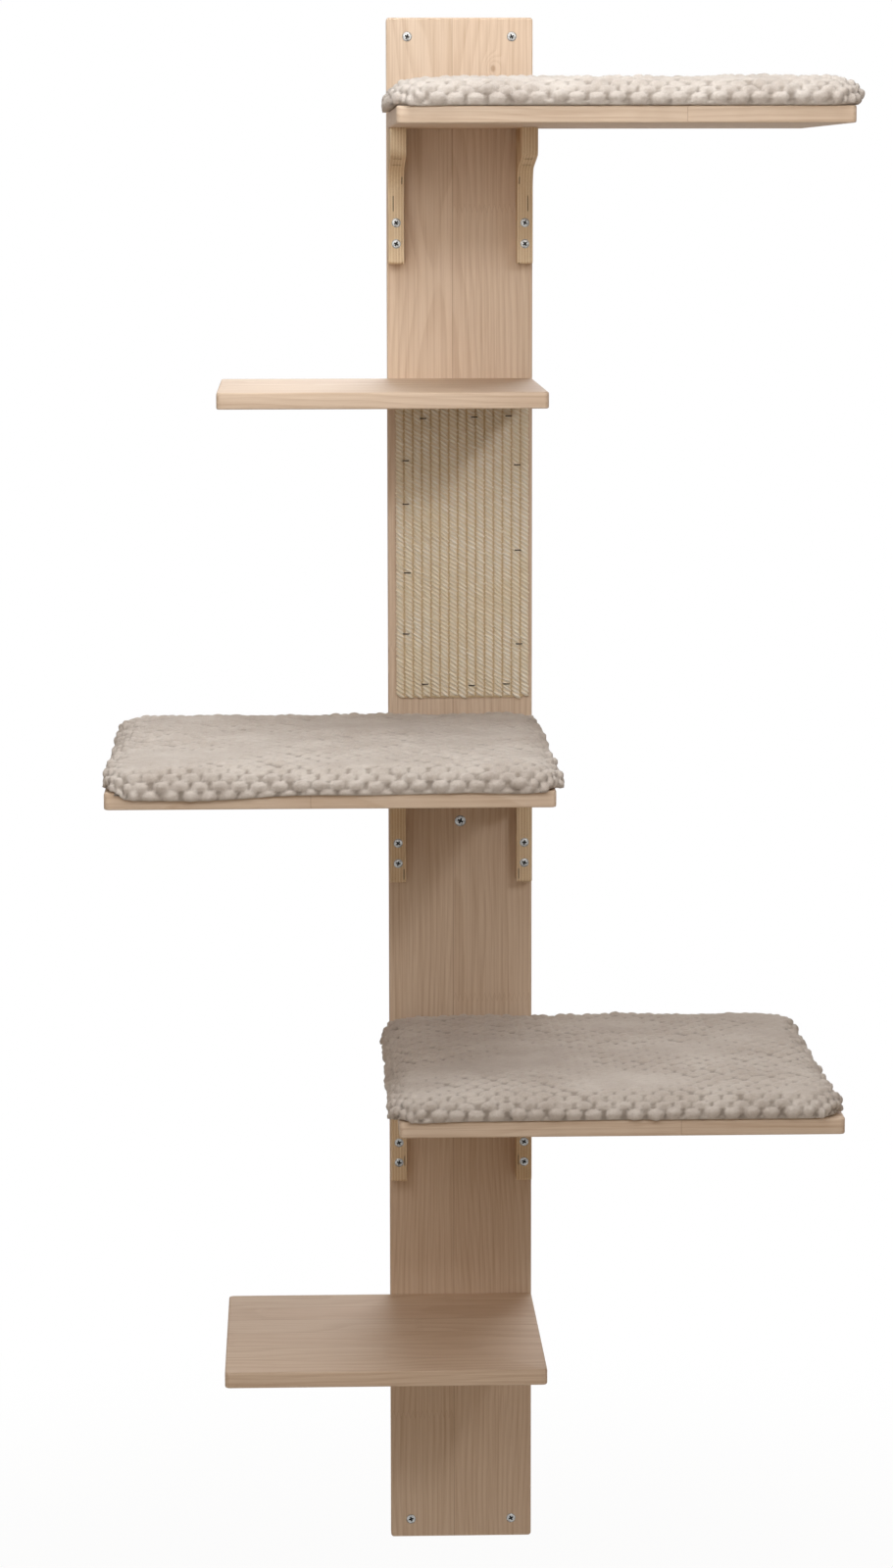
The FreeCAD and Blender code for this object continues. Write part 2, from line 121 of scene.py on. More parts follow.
# %% [markdown]
# ## Shader maths as Python
# Procedural wood and cloth are long sums of small nodes. A thin class round a socket lets a sum
# be written as a sum: `1 - mask` adds the Math node that it stands for. Every other node comes
# from one method, which sets the node's own settings first and then its sockets.

# %% Wire, Nodes and Finish
class Wire:
    """A shader socket that is added, multiplied and compared like a number."""

    def __init__(self, nodes, socket):
        self.nodes = nodes
        self.socket = socket

    def maths(self, operation, *values):
        return self.nodes.add("Math", {"operation": operation}, dict(enumerate(values)))

    def __add__(self, other):
        return self.maths("ADD", self, other)

    def __sub__(self, other):
        return self.maths("SUBTRACT", self, other)

    def __rsub__(self, other):
        return self.maths("SUBTRACT", other, self)

    def __mul__(self, other):
        return self.maths("MULTIPLY", self, other)

    def __truediv__(self, other):
        return self.maths("DIVIDE", self, other)

    def __pow__(self, other):
        return self.maths("POWER", self, other)

    def __gt__(self, other):
        return self.maths("GREATER_THAN", self, other)

    def __abs__(self):
        return self.maths("ABSOLUTE", self)

    __radd__ = __add__
    __rmul__ = __mul__

    def floor(self):
        return self.maths("FLOOR", self)

    def fraction(self):
        return self.maths("FRACT", self)

    def smaller(self, other):
        return self.maths("MINIMUM", self, other)

    def zigzag(self, half_period):
        return self.maths("PINGPONG", self, half_period)

    def rise(self, low, high, bottom=0.0, top=1.0):
        """Goes smoothly from bottom to top while the wire goes from low to high."""
        return self.nodes.add(
            "MapRange", {"interpolation_type": "SMOOTHSTEP"},
            {"Value": self, "From Min": low, "From Max": high, "To Min": bottom, "To Max": top},
        )


def linear(red, green, blue):
    """A colour of 0 to 255 a channel, as it looks on a screen, in the units of a shader."""
    shares = (channel / 255 for channel in (red, green, blue))
    return tuple(s / 12.92 if s <= 0.04045 else ((s + 0.055) / 1.055) ** 2.4 for s in shares)


class Nodes:
    """A node tree that grows by one method."""

    def __init__(self, owner):
        owner.use_nodes = True
        self.tree = owner.node_tree

    def add(self, kind, settings=None, sockets=None, output=0):
        """One node of a kind. What comes back is a wire from one of its outputs."""
        node = self.tree.nodes.new("ShaderNode" + kind)
        for key, value in (settings or {}).items():
            setattr(node, key, value)
        for key, value in (sockets or {}).items():
            self.feed(node.inputs[key], value)
        return Wire(self, node.outputs[output])

    def feed(self, socket, value):
        """Links a wire to a socket, or sets the socket's own value."""
        if isinstance(value, Wire):
            self.tree.links.new(value.socket, socket)
        elif socket.type == "RGBA":
            socket.default_value = (*value, 1)
        else:
            socket.default_value = value


class Finish(Nodes):
    """A material in the making. Its places are in millimetres, in the object's frame."""

    def __init__(self, name, slot):
        self.slot = slot
        self.material = bpy.data.materials.new(name)
        super().__init__(self.material)
        self.surface = self.tree.nodes["Principled BSDF"]
        spot = self.add("TexCoord", output="Object")
        self.place = self.add(
            "VectorMath", {"operation": "SCALE"}, {"Vector": spot, "Scale": 1 / MM}
        )
        self.x, self.y, self.z = self.split(self.place, "XYZ")

    def split(self, place, axes):
        """The coordinates of a place, as one wire for each letter."""
        return [self.add("SeparateXYZ", {}, {0: place}, output=axis) for axis in axes]

    def turned_about(self, axis, degrees):
        """The place, turned about one axis."""
        angles = [math.radians(degrees) if letter == axis else 0 for letter in "XYZ"]
        return self.add("Mapping", {}, {"Vector": self.place, "Rotation": angles})

    def noise(self, place, detail=2.0, roughness=0.5, scale=1.0):
        """Soft noise of 0 to 1 at a place."""
        return self.add("TexNoise", {}, {
            "Vector": place, "Scale": scale, "Detail": detail, "Roughness": roughness,
        }, output="Fac")

    def at(self, x, y, z):
        """A place from three wires or numbers."""
        return self.add("CombineXYZ", {}, {0: x, 1: y, 2: z})

    def dice(self, number):
        """A value of 0 to 1 that is different for every whole number."""
        return self.add("TexWhiteNoise", {"noise_dimensions": "1D"}, {"W": number}, output="Value")

    def blend(self, share, first, second):
        """One colour turning into another."""
        return self.add("Mix", {"data_type": "RGBA"}, {0: share, 6: first, 7: second}, output=2)

    def done(self, colour, roughness, height=None, depth=0.0, **constants):
        """Connects the colour, roughness and bump, and sets plain values on the shader."""
        self.feed(self.surface.inputs["Base Color"], colour)
        self.feed(self.surface.inputs["Roughness"], roughness)
        if height:
            bump = self.add("Bump", {}, {"Height": height, "Distance": depth * MM}, output="Normal")
            self.feed(self.surface.inputs["Normal"], bump)
        for name, value in constants.items():
            self.feed(self.surface.inputs[name.replace("_", " ")], value)
        print(self.material.name, len(self.tree.nodes), "nodes")
        return self


# %% [markdown]
# ## Backdrop and floor
# The picture has a white ground. The world is white only to rays that come from the camera or
# from gloss, and a dim warm grey to the rays that light the wood. The floor lies under the tree.
# Most of what the camera sees of it is plain white too, and the rest takes the shadow. Further
# from the tree it is all white, so that no horizon shows.

# %% World and floor
WHITE = (1, 1, 1)
ROOM_GLOW, ROOM_STRENGTH = (1.0, 0.74, 0.52), 0.2
FLOOR_HEIGHT = -0.95
FLOOR_SIZE, FLOOR_SHIFT = 14, 4
FLOOR_GLOW = 0.95
SHADOW_REACH = (500, 1500)


def white_to_camera(nodes, other, white, surface, share=1.0):
    """Shows a share of a white shader to the camera and to gloss, and the other to the rest."""
    camera, gloss, through = (nodes.add("LightPath", output=f"Is {kind} Ray")
                              for kind in ("Camera", "Glossy", "Transmission"))
    seen = (camera + gloss + through).smaller(1.0) * share
    nodes.feed(surface, nodes.add("MixShader", {}, {0: seen, 1: other, 2: white}))


scene.world = bpy.data.worlds.new("room")
room = Nodes(scene.world)
glow, blank = (room.add("Background", {}, {"Color": colour, "Strength": strength})
               for colour, strength in ((ROOM_GLOW, ROOM_STRENGTH), (WHITE, 1.0)))
white_to_camera(room, glow, blank, room.tree.nodes["World Output"].inputs["Surface"])

ground = Finish("floor_finish", None)
speckle = ground.noise(ground.place, scale=0.004)
ground.done(ground.blend(speckle, linear(214, 208, 200), linear(222, 217, 210)), 0.8)
from_tree = (ground.x * ground.x + ground.y * ground.y) ** 0.5
white_to_camera(
    ground, Wire(ground, ground.surface.outputs["BSDF"]),
    ground.add("Emission", {}, {"Color": WHITE, "Strength": 1.0}),
    ground.tree.nodes["Material Output"].inputs["Surface"],
    from_tree.rise(*SHADOW_REACH, FLOOR_GLOW, 1.0),
)

flat = bmesh.new()
bmesh.ops.create_grid(flat, x_segments=1, y_segments=1, size=FLOOR_SIZE)
bmesh.ops.translate(flat, vec=(0, FLOOR_SHIFT, FLOOR_HEIGHT), verts=flat.verts)
floor_mesh = bpy.data.meshes.new("floor")
flat.to_mesh(floor_mesh)
flat.free()
floor_mesh.materials.append(ground.material)
floor = bpy.data.objects.new("floor", floor_mesh)
scene.collection.objects.link(floor)


# %% [markdown]
# ## Making pieces
# A piece starts as a bmesh. `settle` merges what meets, turns its faces outwards, marks the
# edges that are really sharp and hands the mesh to a new object that rides on a CAD body.
# `carve` takes a cutter away from it with a Boolean, for holes that no operator gives.

# %% Helpers for pieces
SHARP = math.radians(40)


def mark_edges(mesh):
    """Smooth faces, apart from the edges that turn sharply."""
    shape = bmesh.new()
    shape.from_mesh(mesh)
    for face in shape.faces:
        face.smooth = True
    for edge in shape.edges:
        edge.smooth = edge.calc_face_angle(0) < SHARP
    shape.to_mesh(mesh)
    shape.free()


def settle(name, shape, finish, nodes=(), body="root"):
    """A finished bmesh as a piece that rides on a body and stands for CAD nodes."""
    bmesh.ops.remove_doubles(shape, verts=shape.verts, dist=0.0005 * MM)
    bmesh.ops.recalc_face_normals(shape, faces=shape.faces)
    mesh = bpy.data.meshes.new(name)
    shape.to_mesh(mesh)
    shape.free()
    mark_edges(mesh)
    mesh.materials.append(finish.material)
    piece = bpy.data.objects.new(name, mesh)
    scene.collection.objects.link(piece)
    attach(piece, body)
    if nodes:
        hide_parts(*nodes)
    return piece


def apply_modifiers(piece):
    """Makes what the modifiers show the piece's own mesh."""
    graph = bpy.context.evaluated_depsgraph_get()
    shown = bpy.data.meshes.new_from_object(piece.evaluated_get(graph))
    piece.modifiers.clear()
    old, piece.data = piece.data, shown
    bpy.data.meshes.remove(old)


def carve(piece, cutter_shape):
    """Takes a bmesh away from a piece."""
    bmesh.ops.recalc_face_normals(cutter_shape, faces=cutter_shape.faces)
    mesh = bpy.data.meshes.new("cutter")
    cutter_shape.to_mesh(mesh)
    cutter_shape.free()
    cutter = bpy.data.objects.new("cutter", mesh)
    scene.collection.objects.link(cutter)
    difference = piece.modifiers.new("carve", "BOOLEAN")
    difference.operation = "DIFFERENCE"
    difference.solver = "EXACT"
    difference.use_self = True
    difference.object = cutter
    apply_modifiers(piece)
    bpy.data.objects.remove(cutter)
    mark_edges(piece.data)


def add_box(shape, size, centre):
    """Adds a box by its size and centre in metres, and gives its corners."""
    corners = bmesh.ops.create_cube(shape, size=1)["verts"]
    bmesh.ops.scale(shape, vec=size, verts=corners)
    bmesh.ops.translate(shape, vec=centre, verts=corners)
    return corners


def edges_along(shape, axis):
    """The edges that run along axis 0, 1 or 2."""
    return [line for line in shape.edges
            if abs((line.verts[0].co - line.verts[1].co).normalized()[axis]) > 0.9]


def rims(shape, least=1.2):
    """The edges where a face turns into the next by more than an angle in radians."""
    return [line for line in shape.edges if line.calc_face_angle(0) > least]


def bevel(shape, edges, offset, segments, affect="EDGES"):
    """Rounds edges or corners by a width in millimetres."""
    bmesh.ops.bevel(
        shape, geom=edges, offset=offset * MM, segments=segments, profile=0.5,
        affect=affect, material=-1, clamp_overlap=True,
    )


def push(shape, faces, way):
    """Extrudes faces by a vector in metres."""
    grown = bmesh.ops.extrude_face_region(shape, geom=faces)["geom"]
    bmesh.ops.translate(
        shape, vec=way, verts=[part for part in grown if isinstance(part, bmesh.types.BMVert)]
    )
    return [part for part in grown if isinstance(part, bmesh.types.BMFace)]


def turned(outline, steps):
    """A closed shape turned about +Z from (radius, height) points that begin and end on it."""
    shape = bmesh.new()
    points = [shape.verts.new((radius * MM, 0, height * MM)) for radius, height in outline]
    lines = [shape.edges.new(pair) for pair in zip(points, points[1:])]
    bmesh.ops.spin(
        shape, geom=points + lines, cent=(0, 0, 0), axis=(0, 0, 1), dvec=(0, 0, 0),
        angle=math.tau, steps=steps, use_merge=True,
    )
    bmesh.ops.remove_doubles(shape, verts=shape.verts, dist=0.0005 * MM)
    bmesh.ops.recalc_face_normals(shape, faces=shape.faces)
    return shape


def copies(master, places):
    """One bmesh with a copy of a master bmesh at each matrix. The master is used up."""
    mesh = bpy.data.meshes.new("master")
    master.to_mesh(mesh)
    master.free()
    shape = bmesh.new()
    for place in places:
        mesh_copy = mesh.copy()
        mesh_copy.transform(place)
        shape.from_mesh(mesh_copy)
        bpy.data.meshes.remove(mesh_copy)
    bpy.data.meshes.remove(mesh)
    return shape


INTO_WALL = Matrix.Rotation(math.radians(-90), 4, "X")
OUT_OF_WALL = Matrix.Rotation(math.radians(90), 4, "X")
UPWARDS = Matrix.Identity(4)


def standing(x, y, z, direction):
    """A place in millimetres with a local +Z that points in a direction."""
    return Matrix.Translation(Vector((x, y, z)) * MM) @ direction


# %% [markdown]
# ## Pine
# The boards are glued from staves of pale softwood, and the staves are finger jointed from
# shorter blocks. Every block was cut from another place of a trunk, so the shader gives each
# one its own heart line. The distance from that line, made a little uneven, gives the growth
# rings: straight stripes where the block was cut near the heart, and arches elsewhere.

# %% Pine shader
PALE_PINE = linear(229, 210, 189)
LATE_PINE = linear(186, 154, 122)
PINK_PINE = linear(217, 190, 166)
GLUE = linear(150, 112, 78)
RING = 5.2


def pine(name, along, across, depth, seams, block, shift, knots=()):
    """Pine whose grain runs on one axis. Seams are places across the grain in millimetres, a
    block is the length between finger joints, and shift moves the first joint."""
    finish = Finish(name, "pine")
    axes = {"x": finish.x, "y": finish.y, "z": finish.z}
    grain, side, deep = axes[along], axes[across], axes[depth]

    stave, to_seam = side > seams[0], abs(side - seams[0])
    for seam in seams[1:]:
        stave = stave + (side > seam)
        to_seam = to_seam.smaller(abs(side - seam))

    teeth = side.zigzag(2.4) * 3.4
    run = (grain + teeth + shift + stave * (block * 0.45)) / block
    part = run.fraction()
    to_joint = part.smaller(1 - part) * block
    number = stave * 17.0 + run.floor() * 5.0
    tint, heart, drop, slope = (finish.dice(number + step) for step in (0.3, 1.3, 2.3, 3.3))

    wave = finish.noise(finish.at(side * 0.011, grain * 0.0032, number), detail=2.0)
    drift = grain * (slope * 0.036 - 0.018)
    off_side = side - seams[0] + heart * 90 - 45
    off_deep = deep + drop * 55 + 14
    rings = (off_side * off_side + off_deep * off_deep) ** 0.5 + wave * 34 + drift
    dark = to_seam.rise(0.15, 0.55, 0.42, 0.0) + to_joint.rise(0.15, 0.5, 0.4, 0.0)
    for knot_along, knot_side, size in knots:
        far = ((grain - knot_along) * (grain - knot_along) * 0.45
               + (side - knot_side) * (side - knot_side)) ** 0.5
        rings = rings + far.rise(0, size * 4, 15.0, 0.0)
        dark = dark + far.rise(size * 0.35, size, 0.5, 0.0)
    turn = (rings / RING).fraction()
    late = turn.rise(0.3, 0.9) - turn.rise(0.9, 1.0)

    streak = finish.noise(finish.at(side * 0.55, grain * 0.007, deep * 0.55), detail=4.0)
    fibre = finish.noise(finish.at(side * 2.4, grain * 0.05, deep * 2.4), detail=2.0)
    cloud = finish.noise(finish.at(side * 0.02, grain * 0.006, number), detail=1.0)

    shade = late * 0.2 + streak.rise(0.36, 0.74) * 0.34 + fibre.rise(0.3, 0.8) * 0.14
    body = finish.blend(tint * 0.45 + cloud * 0.3, PALE_PINE, PINK_PINE)
    colour = finish.blend(shade, body, LATE_PINE)
    colour = finish.blend(dark.smaller(1.0), colour, GLUE)
    return finish.done(
        colour, 0.52 + fibre * 0.16, height=fibre * 0.6 + streak * 0.4, depth=0.12,
        Specular_IOR_Level=0.35,
    )


STAVE_WIDTH = 47
upright_pine = pine(
    "pine_upright", "z", "x", "y", seams=(-7.0,), block=770, shift=620, knots=((702, 32, 3.2),)
)
board_pine = pine(
    "pine_boards", "x", "y", "z", seams=tuple(-62 - STAVE_WIDTH * step for step in range(8)),
    block=330, shift=140,
)


# %% [markdown]
# ## Boards
# A sawn board is a box whose corners were rounded on a router and whose edges were sanded. Two
# bevels make that: the four short corner edges first, with the larger radius, and then the rims
# that they leave. The upright is the same shape standing up. Its screw holes are cut afterwards.

# %% Rounded boards
def board_shape(node, thin_axis, corner, edge):
    """A box of a node's size with rounded corners and eased edges."""
    low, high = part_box(node)
    low, high = Vector(low), Vector(high)
    shape = bmesh.new()
    add_box(shape, high - low, (low + high) / 2)
    bevel(shape, edges_along(shape, thin_axis), corner, 6)
    bevel(shape, rims(shape), edge, 3)
    return shape


BOARDS = ("shelf_top", "step_upper", "shelf_middle", "shelf_lower", "step_lower")
BOARD_ROUNDS = (5, 1.6)
PANEL_ROUNDS = (3, 1.4)
for board in BOARDS:
    piece = settle(f"{board}_wood", board_shape(board, 2, *BOARD_ROUNDS), board_pine, [board])
    print(board, len(piece.data.polygons), "faces")

upright = settle("upright_wood", board_shape("back_panel", 1, *PANEL_ROUNDS), upright_pine,
                 ["back_panel"])


# %% [markdown]
# Where screws go is worked out once, from the CAD boxes of the boards and brackets and a few
# distances, because the holes and the screws have to agree.

# %% Places of screws
CORNER_IN, CORNER_DOWN = 20, 18
MIDDLE_LEVEL = -25
LEG_DEPTH = 25
LEG_SCREWS = (19, 39)
ARM_SCREWS = (60, 95)
BACK_SPREAD = 45
BRACKETS = [f"bracket_{tier}_{side}" for tier in ("top", "middle", "lower")
            for side in ("left", "right")]

panel_low, panel_high = box_mm("back_panel")
PANEL_FRONT = panel_low.y
corner_x, corner_z = panel_high.x - CORNER_IN, panel_high.z - CORNER_DOWN
corner_places = [standing(x, PANEL_FRONT, z, INTO_WALL)
                 for x in (-corner_x, corner_x) for z in (corner_z, -corner_z)]
middle_places = [standing(0, PANEL_FRONT, MIDDLE_LEVEL, INTO_WALL)]
back_places = []
for board in BOARDS:
    low, high = box_mm(board)
    back_places += [standing(x, 0, (low.z + high.z) / 2, OUT_OF_WALL)
                    for x in (-BACK_SPREAD, BACK_SPREAD)]
leg_places, arm_places = [], []
for bracket in BRACKETS:
    low, high = box_mm(bracket)
    centre = (low.x + high.x) / 2
    leg_places += [standing(centre, PANEL_FRONT - LEG_DEPTH, low.z + up, INTO_WALL)
                   for up in LEG_SCREWS]
    arm_places += [standing(centre, PANEL_FRONT - out, high.z - LEG_DEPTH, UPWARDS)
                   for out in ARM_SCREWS]
print("screws:", sum(map(len, (corner_places, middle_places, back_places, leg_places, arm_places))))


# %% [markdown]
# A countersunk hole is a turned shape: a wide mouth, a cone and a straight bore. The same
# outline cuts the upright from the front and from behind, and the plywood brackets.

# %% Countersunk holes
RIM = 0.3
WALL_BORE, BORE = 5.5, 4.5
THROUGH_PANEL = 20


def countersink(mouth, bore, length, above=1.0):
    """A cutter for a hole that starts at the origin and goes along +Z."""
    cone = (mouth - bore) / 2
    return turned(
        ((0, -above), (mouth / 2, -above), (mouth / 2, RIM), (bore / 2, RIM + cone),
         (bore / 2, length), (0, length)), 32,
    )


for mouth, bore, places in ((9.6, WALL_BORE, corner_places), (11.4, WALL_BORE, middle_places),
                            (8.9, BORE, back_places)):
    carve(upright, copies(countersink(mouth, bore, THROUGH_PANEL), places))
print("upright:", len(upright.data.polygons), "faces")


# %% [markdown]
# ## Plywood
# The brackets are sawn from plywood that stands on edge, so their narrow faces show the plies
# as upright stripes: pale where the veneer runs along the face, browner where it shows its end
# grain, with thin glue lines and a few short dark gaps in the core. The stripes are counted from
# the middle plane of each bracket, which lies equally far left and right of the tree's middle.

# %% Plywood shader
BRACKET_X, BRACKET_HALF = 61.5, 7.5
PLY = 1.36

ply = Finish("plywood_bracket", "plywood")
through = abs(ply.x) - BRACKET_X + BRACKET_HALF
bend = ply.noise(ply.at(ply.x * 0.05, ply.y * 0.03, ply.z * 0.02), detail=1.0) * 0.8 - 0.4
layer = (through + bend) / PLY
layer_number = layer.floor()
layer_tint = ply.dice(layer_number + (ply.x > 0) * 31.0 + (ply.z > 0.0) * 7.0)
cross_grain = (layer_number * 0.5).fraction() * 2
along_veneer = ply.noise(ply.at(ply.x * 2.0, ply.y * 0.9, ply.z * 0.03), detail=4.0)
end_grain = ply.noise(ply.at(ply.x * 2.2, ply.y * 1.6, ply.z * 0.7), detail=3.0)
inside_layer = layer.fraction()
glue_line = inside_layer.smaller(1 - inside_layer).rise(0.04, 0.16, 1.0, 0.0)
gap_noise = ply.noise(ply.at(layer_number * 3.1, ply.y * 0.012, ply.z * 0.045), detail=1.0)
gap = gap_noise.rise(0.66, 0.7) * cross_grain * inside_layer.zigzag(0.5).rise(0.12, 0.3)
ply_colour = ply.blend(
    cross_grain * 0.55 + layer_tint * 0.25, linear(247, 229, 199), linear(226, 199, 160)
)
ply_colour = ply.blend(along_veneer.rise(0.35, 0.75) * 0.4, ply_colour, linear(196, 160, 116))
ply_colour = ply.blend(end_grain.rise(0.45, 0.8) * cross_grain * 0.4, ply_colour,
                       linear(160, 122, 82))
ply_colour = ply.blend(glue_line * 0.3, ply_colour, linear(140, 102, 66))
ply_colour = ply.blend(gap * 0.8, ply_colour, linear(58, 38, 24))
ply.done(ply_colour, 0.62 + end_grain * 0.15, height=along_veneer - gap * 1.5 - glue_line * 0.3,
         depth=0.2, Specular_IOR_Level=0.3)


# %% [markdown]
# ## Brackets
# The outline of a bracket is drawn as one flat face with six corners. Three of them are rounded:
# the blunt tip, the wide inner curve and the front of the leg's lower end. A corner's bevel is
# measured along its edges, so the radius is turned into that length with the angle by which the
# outline turns there. Then the face is pushed through the thickness and its rims are eased.

# %% Bracket shape
ARM_TIP, ARM_ROOT = 26, 40
ROUNDS = {2: 8, 3: 22, 4: 3}
SAWN_EDGE = 0.7


def bracket_shape(node):
    """A bracket in the box of its CAD node."""
    low, high = box_mm(node)
    outline = (
        (high.y, high.z), (low.y, high.z), (low.y, high.z - ARM_TIP),
        (high.y - LEG_DEPTH, high.z - ARM_ROOT), (high.y - LEG_DEPTH, low.z), (high.y, low.z),
    )
    shape = bmesh.new()
    corners = [Vector((low.x, y, z)) * MM for y, z in outline]
    shape.faces.new([shape.verts.new(corner) for corner in corners])
    for index, radius in ROUNDS.items():
        before, here, after = (corners[(index + step) % 6] for step in (-1, 0, 1))
        turn = (here - before).angle(after - here)
        point = min(shape.verts, key=lambda vert: (vert.co - here).length)
        bevel(shape, [point], radius * math.tan(turn / 2), 10, affect="VERTICES")
    push(shape, list(shape.faces), Vector((high.x - low.x, 0, 0)) * MM)
    bmesh.ops.recalc_face_normals(shape, faces=shape.faces)
    bevel(shape, rims(shape, 1.0), SAWN_EDGE, 2)
    return shape


for index, bracket in enumerate(BRACKETS):
    piece = settle(f"{bracket}_ply", bracket_shape(bracket), ply, [bracket])
    legs, arms = (places[2 * index:2 * index + 2] for places in (leg_places, arm_places))
    carve(piece, copies(countersink(8.9, BORE, LEG_DEPTH + 2), legs))
    carve(piece, copies(countersink(8.8, BORE, LEG_DEPTH + 2, above=20), arms))
print("bracket:", len(piece.data.polygons), "faces")


# %% [markdown]
# ## Screws
# A countersunk screw is turned from one outline: a flat head with a small rim, a cone, a core
# and a point. The thread is a small triangle that is spun round the core while it climbs. Two
# tapered bars cut the cross into the head. The screws through the panel stick out behind it,
# where they would be in the wall, and there the thread shows.

# %% Zinc and screw shape
zinc = Finish("zinc_plating", "zinc")
scratch = zinc.noise(zinc.place, scale=1.3, detail=4.0)
patina = zinc.noise(zinc.place, scale=0.35, detail=2.0)
# Painted shade: the marked faces down in each cross get a near black colour, as a recess in shadow.
painted_recess_shade = zinc.add("Attribute", {"attribute_name": "painted_recess_shade"}, output="Fac")
zinc_colour = zinc.blend(patina.rise(0.35, 0.7), linear(176, 176, 174), linear(134, 132, 128))
zinc.done(
    zinc.blend(painted_recess_shade, zinc_colour, linear(44, 42, 40)),
    scratch.rise(0.3, 0.7, 0.34, 0.6), height=scratch, depth=0.04, Metallic=1.0,
)


def cross_cutter(span, deep):
    """Two crossed bars that narrow towards the point of a driver."""
    shape = bmesh.new()
    for turn in (0, math.radians(90)):
        bar = bmesh.ops.create_cube(shape, size=1)["verts"]
        bmesh.ops.scale(shape, vec=Vector((span, span * 0.3, deep * 2)) * MM, verts=bar)
        bmesh.ops.scale(shape, vec=(0.5, 0.7, 1), verts=[v for v in bar if v.co.z > 0])
        bmesh.ops.rotate(shape, cent=(0, 0, 0), matrix=Matrix.Rotation(turn, 3, "Z"), verts=bar)
    return shape


# The cross's width and depth, as shares of the head, and the steps in one turn of thread.
RECESS_WIDTH, RECESS_DEPTH = 0.7, 0.24
THREAD_STEPS = 12


def screw_shape(head, length, core, crest, pitch, thread_from):
    """A screw along +Z with the top of its head at the origin."""
    radius = head / 2
    shape = turned((
        (0, 0), (radius - 0.3, 0), (radius, 0.2), (radius, 0.4), (core, 0.4 + radius - core),
        (core, length - 2 * core), (0, length),
    ), 24)
    holder = settle("blank", shape, zinc)
    carve(holder, cross_cutter(head * RECESS_WIDTH, head * RECESS_DEPTH))
    shape = bmesh.new()
    shape.from_mesh(holder.data)
    bpy.data.objects.remove(holder)
    start = [shape.verts.new(Vector((x, 0, thread_from + z)) * MM)
             for x, z in ((core * 0.96, 0), (crest, pitch * 0.3), (core * 0.96, pitch * 0.6))]
    turns = (length - 2 * core - thread_from) / pitch
    bmesh.ops.spin(
        shape, geom=[shape.faces.new(start)], cent=(0, 0, 0), axis=(0, 0, 1),
        dvec=Vector((0, 0, pitch / THREAD_STEPS)) * MM, angle=turns * math.tau,
        steps=round(turns * THREAD_STEPS),
    )
    bmesh.ops.recalc_face_normals(shape, faces=shape.faces)
    return shape


def screws(name, head, sizes, places, node):
    """Screws of one kind, each turned by chance as a driver leaves them. The faces down in the
    cross are marked for painted shade, which darkens the recess where little light gets in."""
    master = screw_shape(head, *sizes)
    spun = [place @ Matrix.Rotation(chance.uniform(0, math.tau), 4, "Z") for place in places]
    piece = settle(name, copies(master, spun), zinc, [node])
    centres = [face.center for face in piece.data.polygons]
    # Marks the faces down in each cross, where the shader paints shade.
    recess_shade_marks = np.zeros(len(centres), np.float32)
    for place in places:
        back = place.inverted()
        for index, centre in enumerate(centres):
            local = back @ centre / MM
            if 0.05 < local.z < head * RECESS_DEPTH + 0.1 and local.xy.length < head * 0.36:
                recess_shade_marks[index] = 1
    piece.data.attributes.new("painted_recess_shade", "FLOAT", "FACE").data.foreach_set("value", recess_shade_marks)
    print(name, len(places), "screws,", len(piece.data.polygons), "faces")


# Each kind's length, core radius, thread radius, pitch and where its thread begins.
SCREW, LONG_SCREW = (35, 1.4, 2.0, 1.8, 14), (50, 1.4, 2.0, 1.8, 18)
WALL_SCREW = (50, 1.8, 2.5, 2.3, 15)
screws("leg_screws", 8.6, SCREW, leg_places, "bracket_leg_screws")
screws("arm_screws", 8.6, SCREW, arm_places, "bracket_arm_screws")
screws("back_screws", 8.6, LONG_SCREW, back_places, "shelf_back_screws")
screws("corner_screws", 8.8, WALL_SCREW, corner_places, "wall_screws")
screws("middle_screw", 10.6, WALL_SCREW, middle_places, "wall_screw_middle")


# %% [markdown]
# ## Sisal mat
# The mat is woven in upright ribs on a thin backing. Each rib is a column of short slanted
# strands that lie over one another, with a flat core under them that closes the gaps between.
# Hundreds of strands are needed, so each is a plain grain of few faces, and chance gives every one
# its own size, tilt and height. The fibres are left to the shader, which draws them out along the
# strands' slant. It also paints shade into what lies deep, the grooves between strands and ribs,
# where the backing's own browner jute shows as well.

# %% Sisal shader
sisal = Finish("sisal_strands", "sisal")
lean_x, lean_z = sisal.split(sisal.turned_about("Y", -32), "XZ")
hair = sisal.noise(sisal.at(lean_x * 0.5, sisal.y * 2.0, lean_z * 5.0), detail=3.0)
patch = sisal.noise(sisal.place, scale=0.03, detail=2.0)
strand = sisal.noise(sisal.at(sisal.x * 0.12, 0.0, sisal.z * 0.35), detail=1.0)
patch_colour = sisal.blend(patch.rise(0.3, 0.7), linear(253, 249, 239), linear(247, 239, 220))
sisal_colour = sisal.blend(strand.rise(0.45, 0.75) * 0.3, patch_colour, linear(234, 219, 190))
sisal_colour = sisal.blend(hair.rise(0.5, 0.85) * 0.4, sisal_colour, linear(216, 196, 160))
# Painted shade: the colour darkens with depth behind the strands' crests, partly the backing's own
# browner tone.
depth = sisal.y - PANEL_FRONT
sisal_colour = sisal.blend(depth.rise(-5.2, -3.7, 0.0, 0.75), sisal_colour, linear(236, 221, 194))
sisal_colour = sisal.blend(depth.rise(-3.7, -2.8, 0.0, 0.8), sisal_colour, linear(214, 190, 150))
sisal.done(sisal_colour, 0.86, height=hair, depth=0.35, Specular_IOR_Level=0.15)


